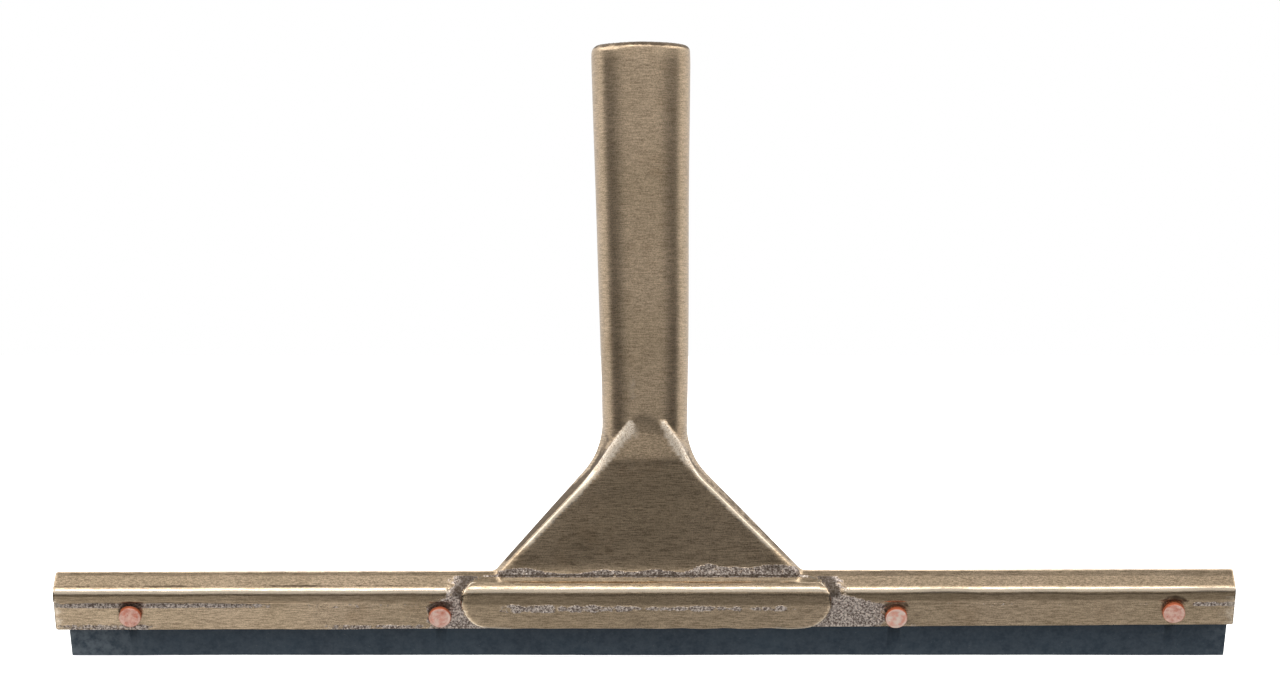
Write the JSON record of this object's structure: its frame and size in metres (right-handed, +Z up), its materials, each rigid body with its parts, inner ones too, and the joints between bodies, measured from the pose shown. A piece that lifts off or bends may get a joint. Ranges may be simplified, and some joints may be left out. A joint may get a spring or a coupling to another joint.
{
  "type": "window squeegee",
  "caption": "Wide window squeegee: a cast bronze handle and blade holder with a hollow pole socket, a rubber blade and copper rivets.",
  "frame": {"origin": "the middle of the blade holder's length, on the handle's axis from front to back, level with the rubber's lowest edge", "axes": "+X along the blade to the right as the user's view shows it, +Y away from the front, +Z up the handle and out of its socket"},
  "size_m": [0.4046, 0.0344, 0.2106],
  "materials": {
    "cast_bronze": "ground and brushed aluminium bronze with patches of as-cast skin",
    "strip_bronze": "rolled bronze strip",
    "rubber": "matt blue-black rubber with a chalky bloom",
    "copper": "hammered copper"
  },
  "bodies": {
    "root": {"cast_body": "cast_bronze", "rubber_blade": "rubber", "clamp_strip": "strip_bronze", "rivet_1": "copper", "rivet_2": "copper", "rivet_3": "copper", "rivet_4": "copper"}
  },
  "joints": []
}
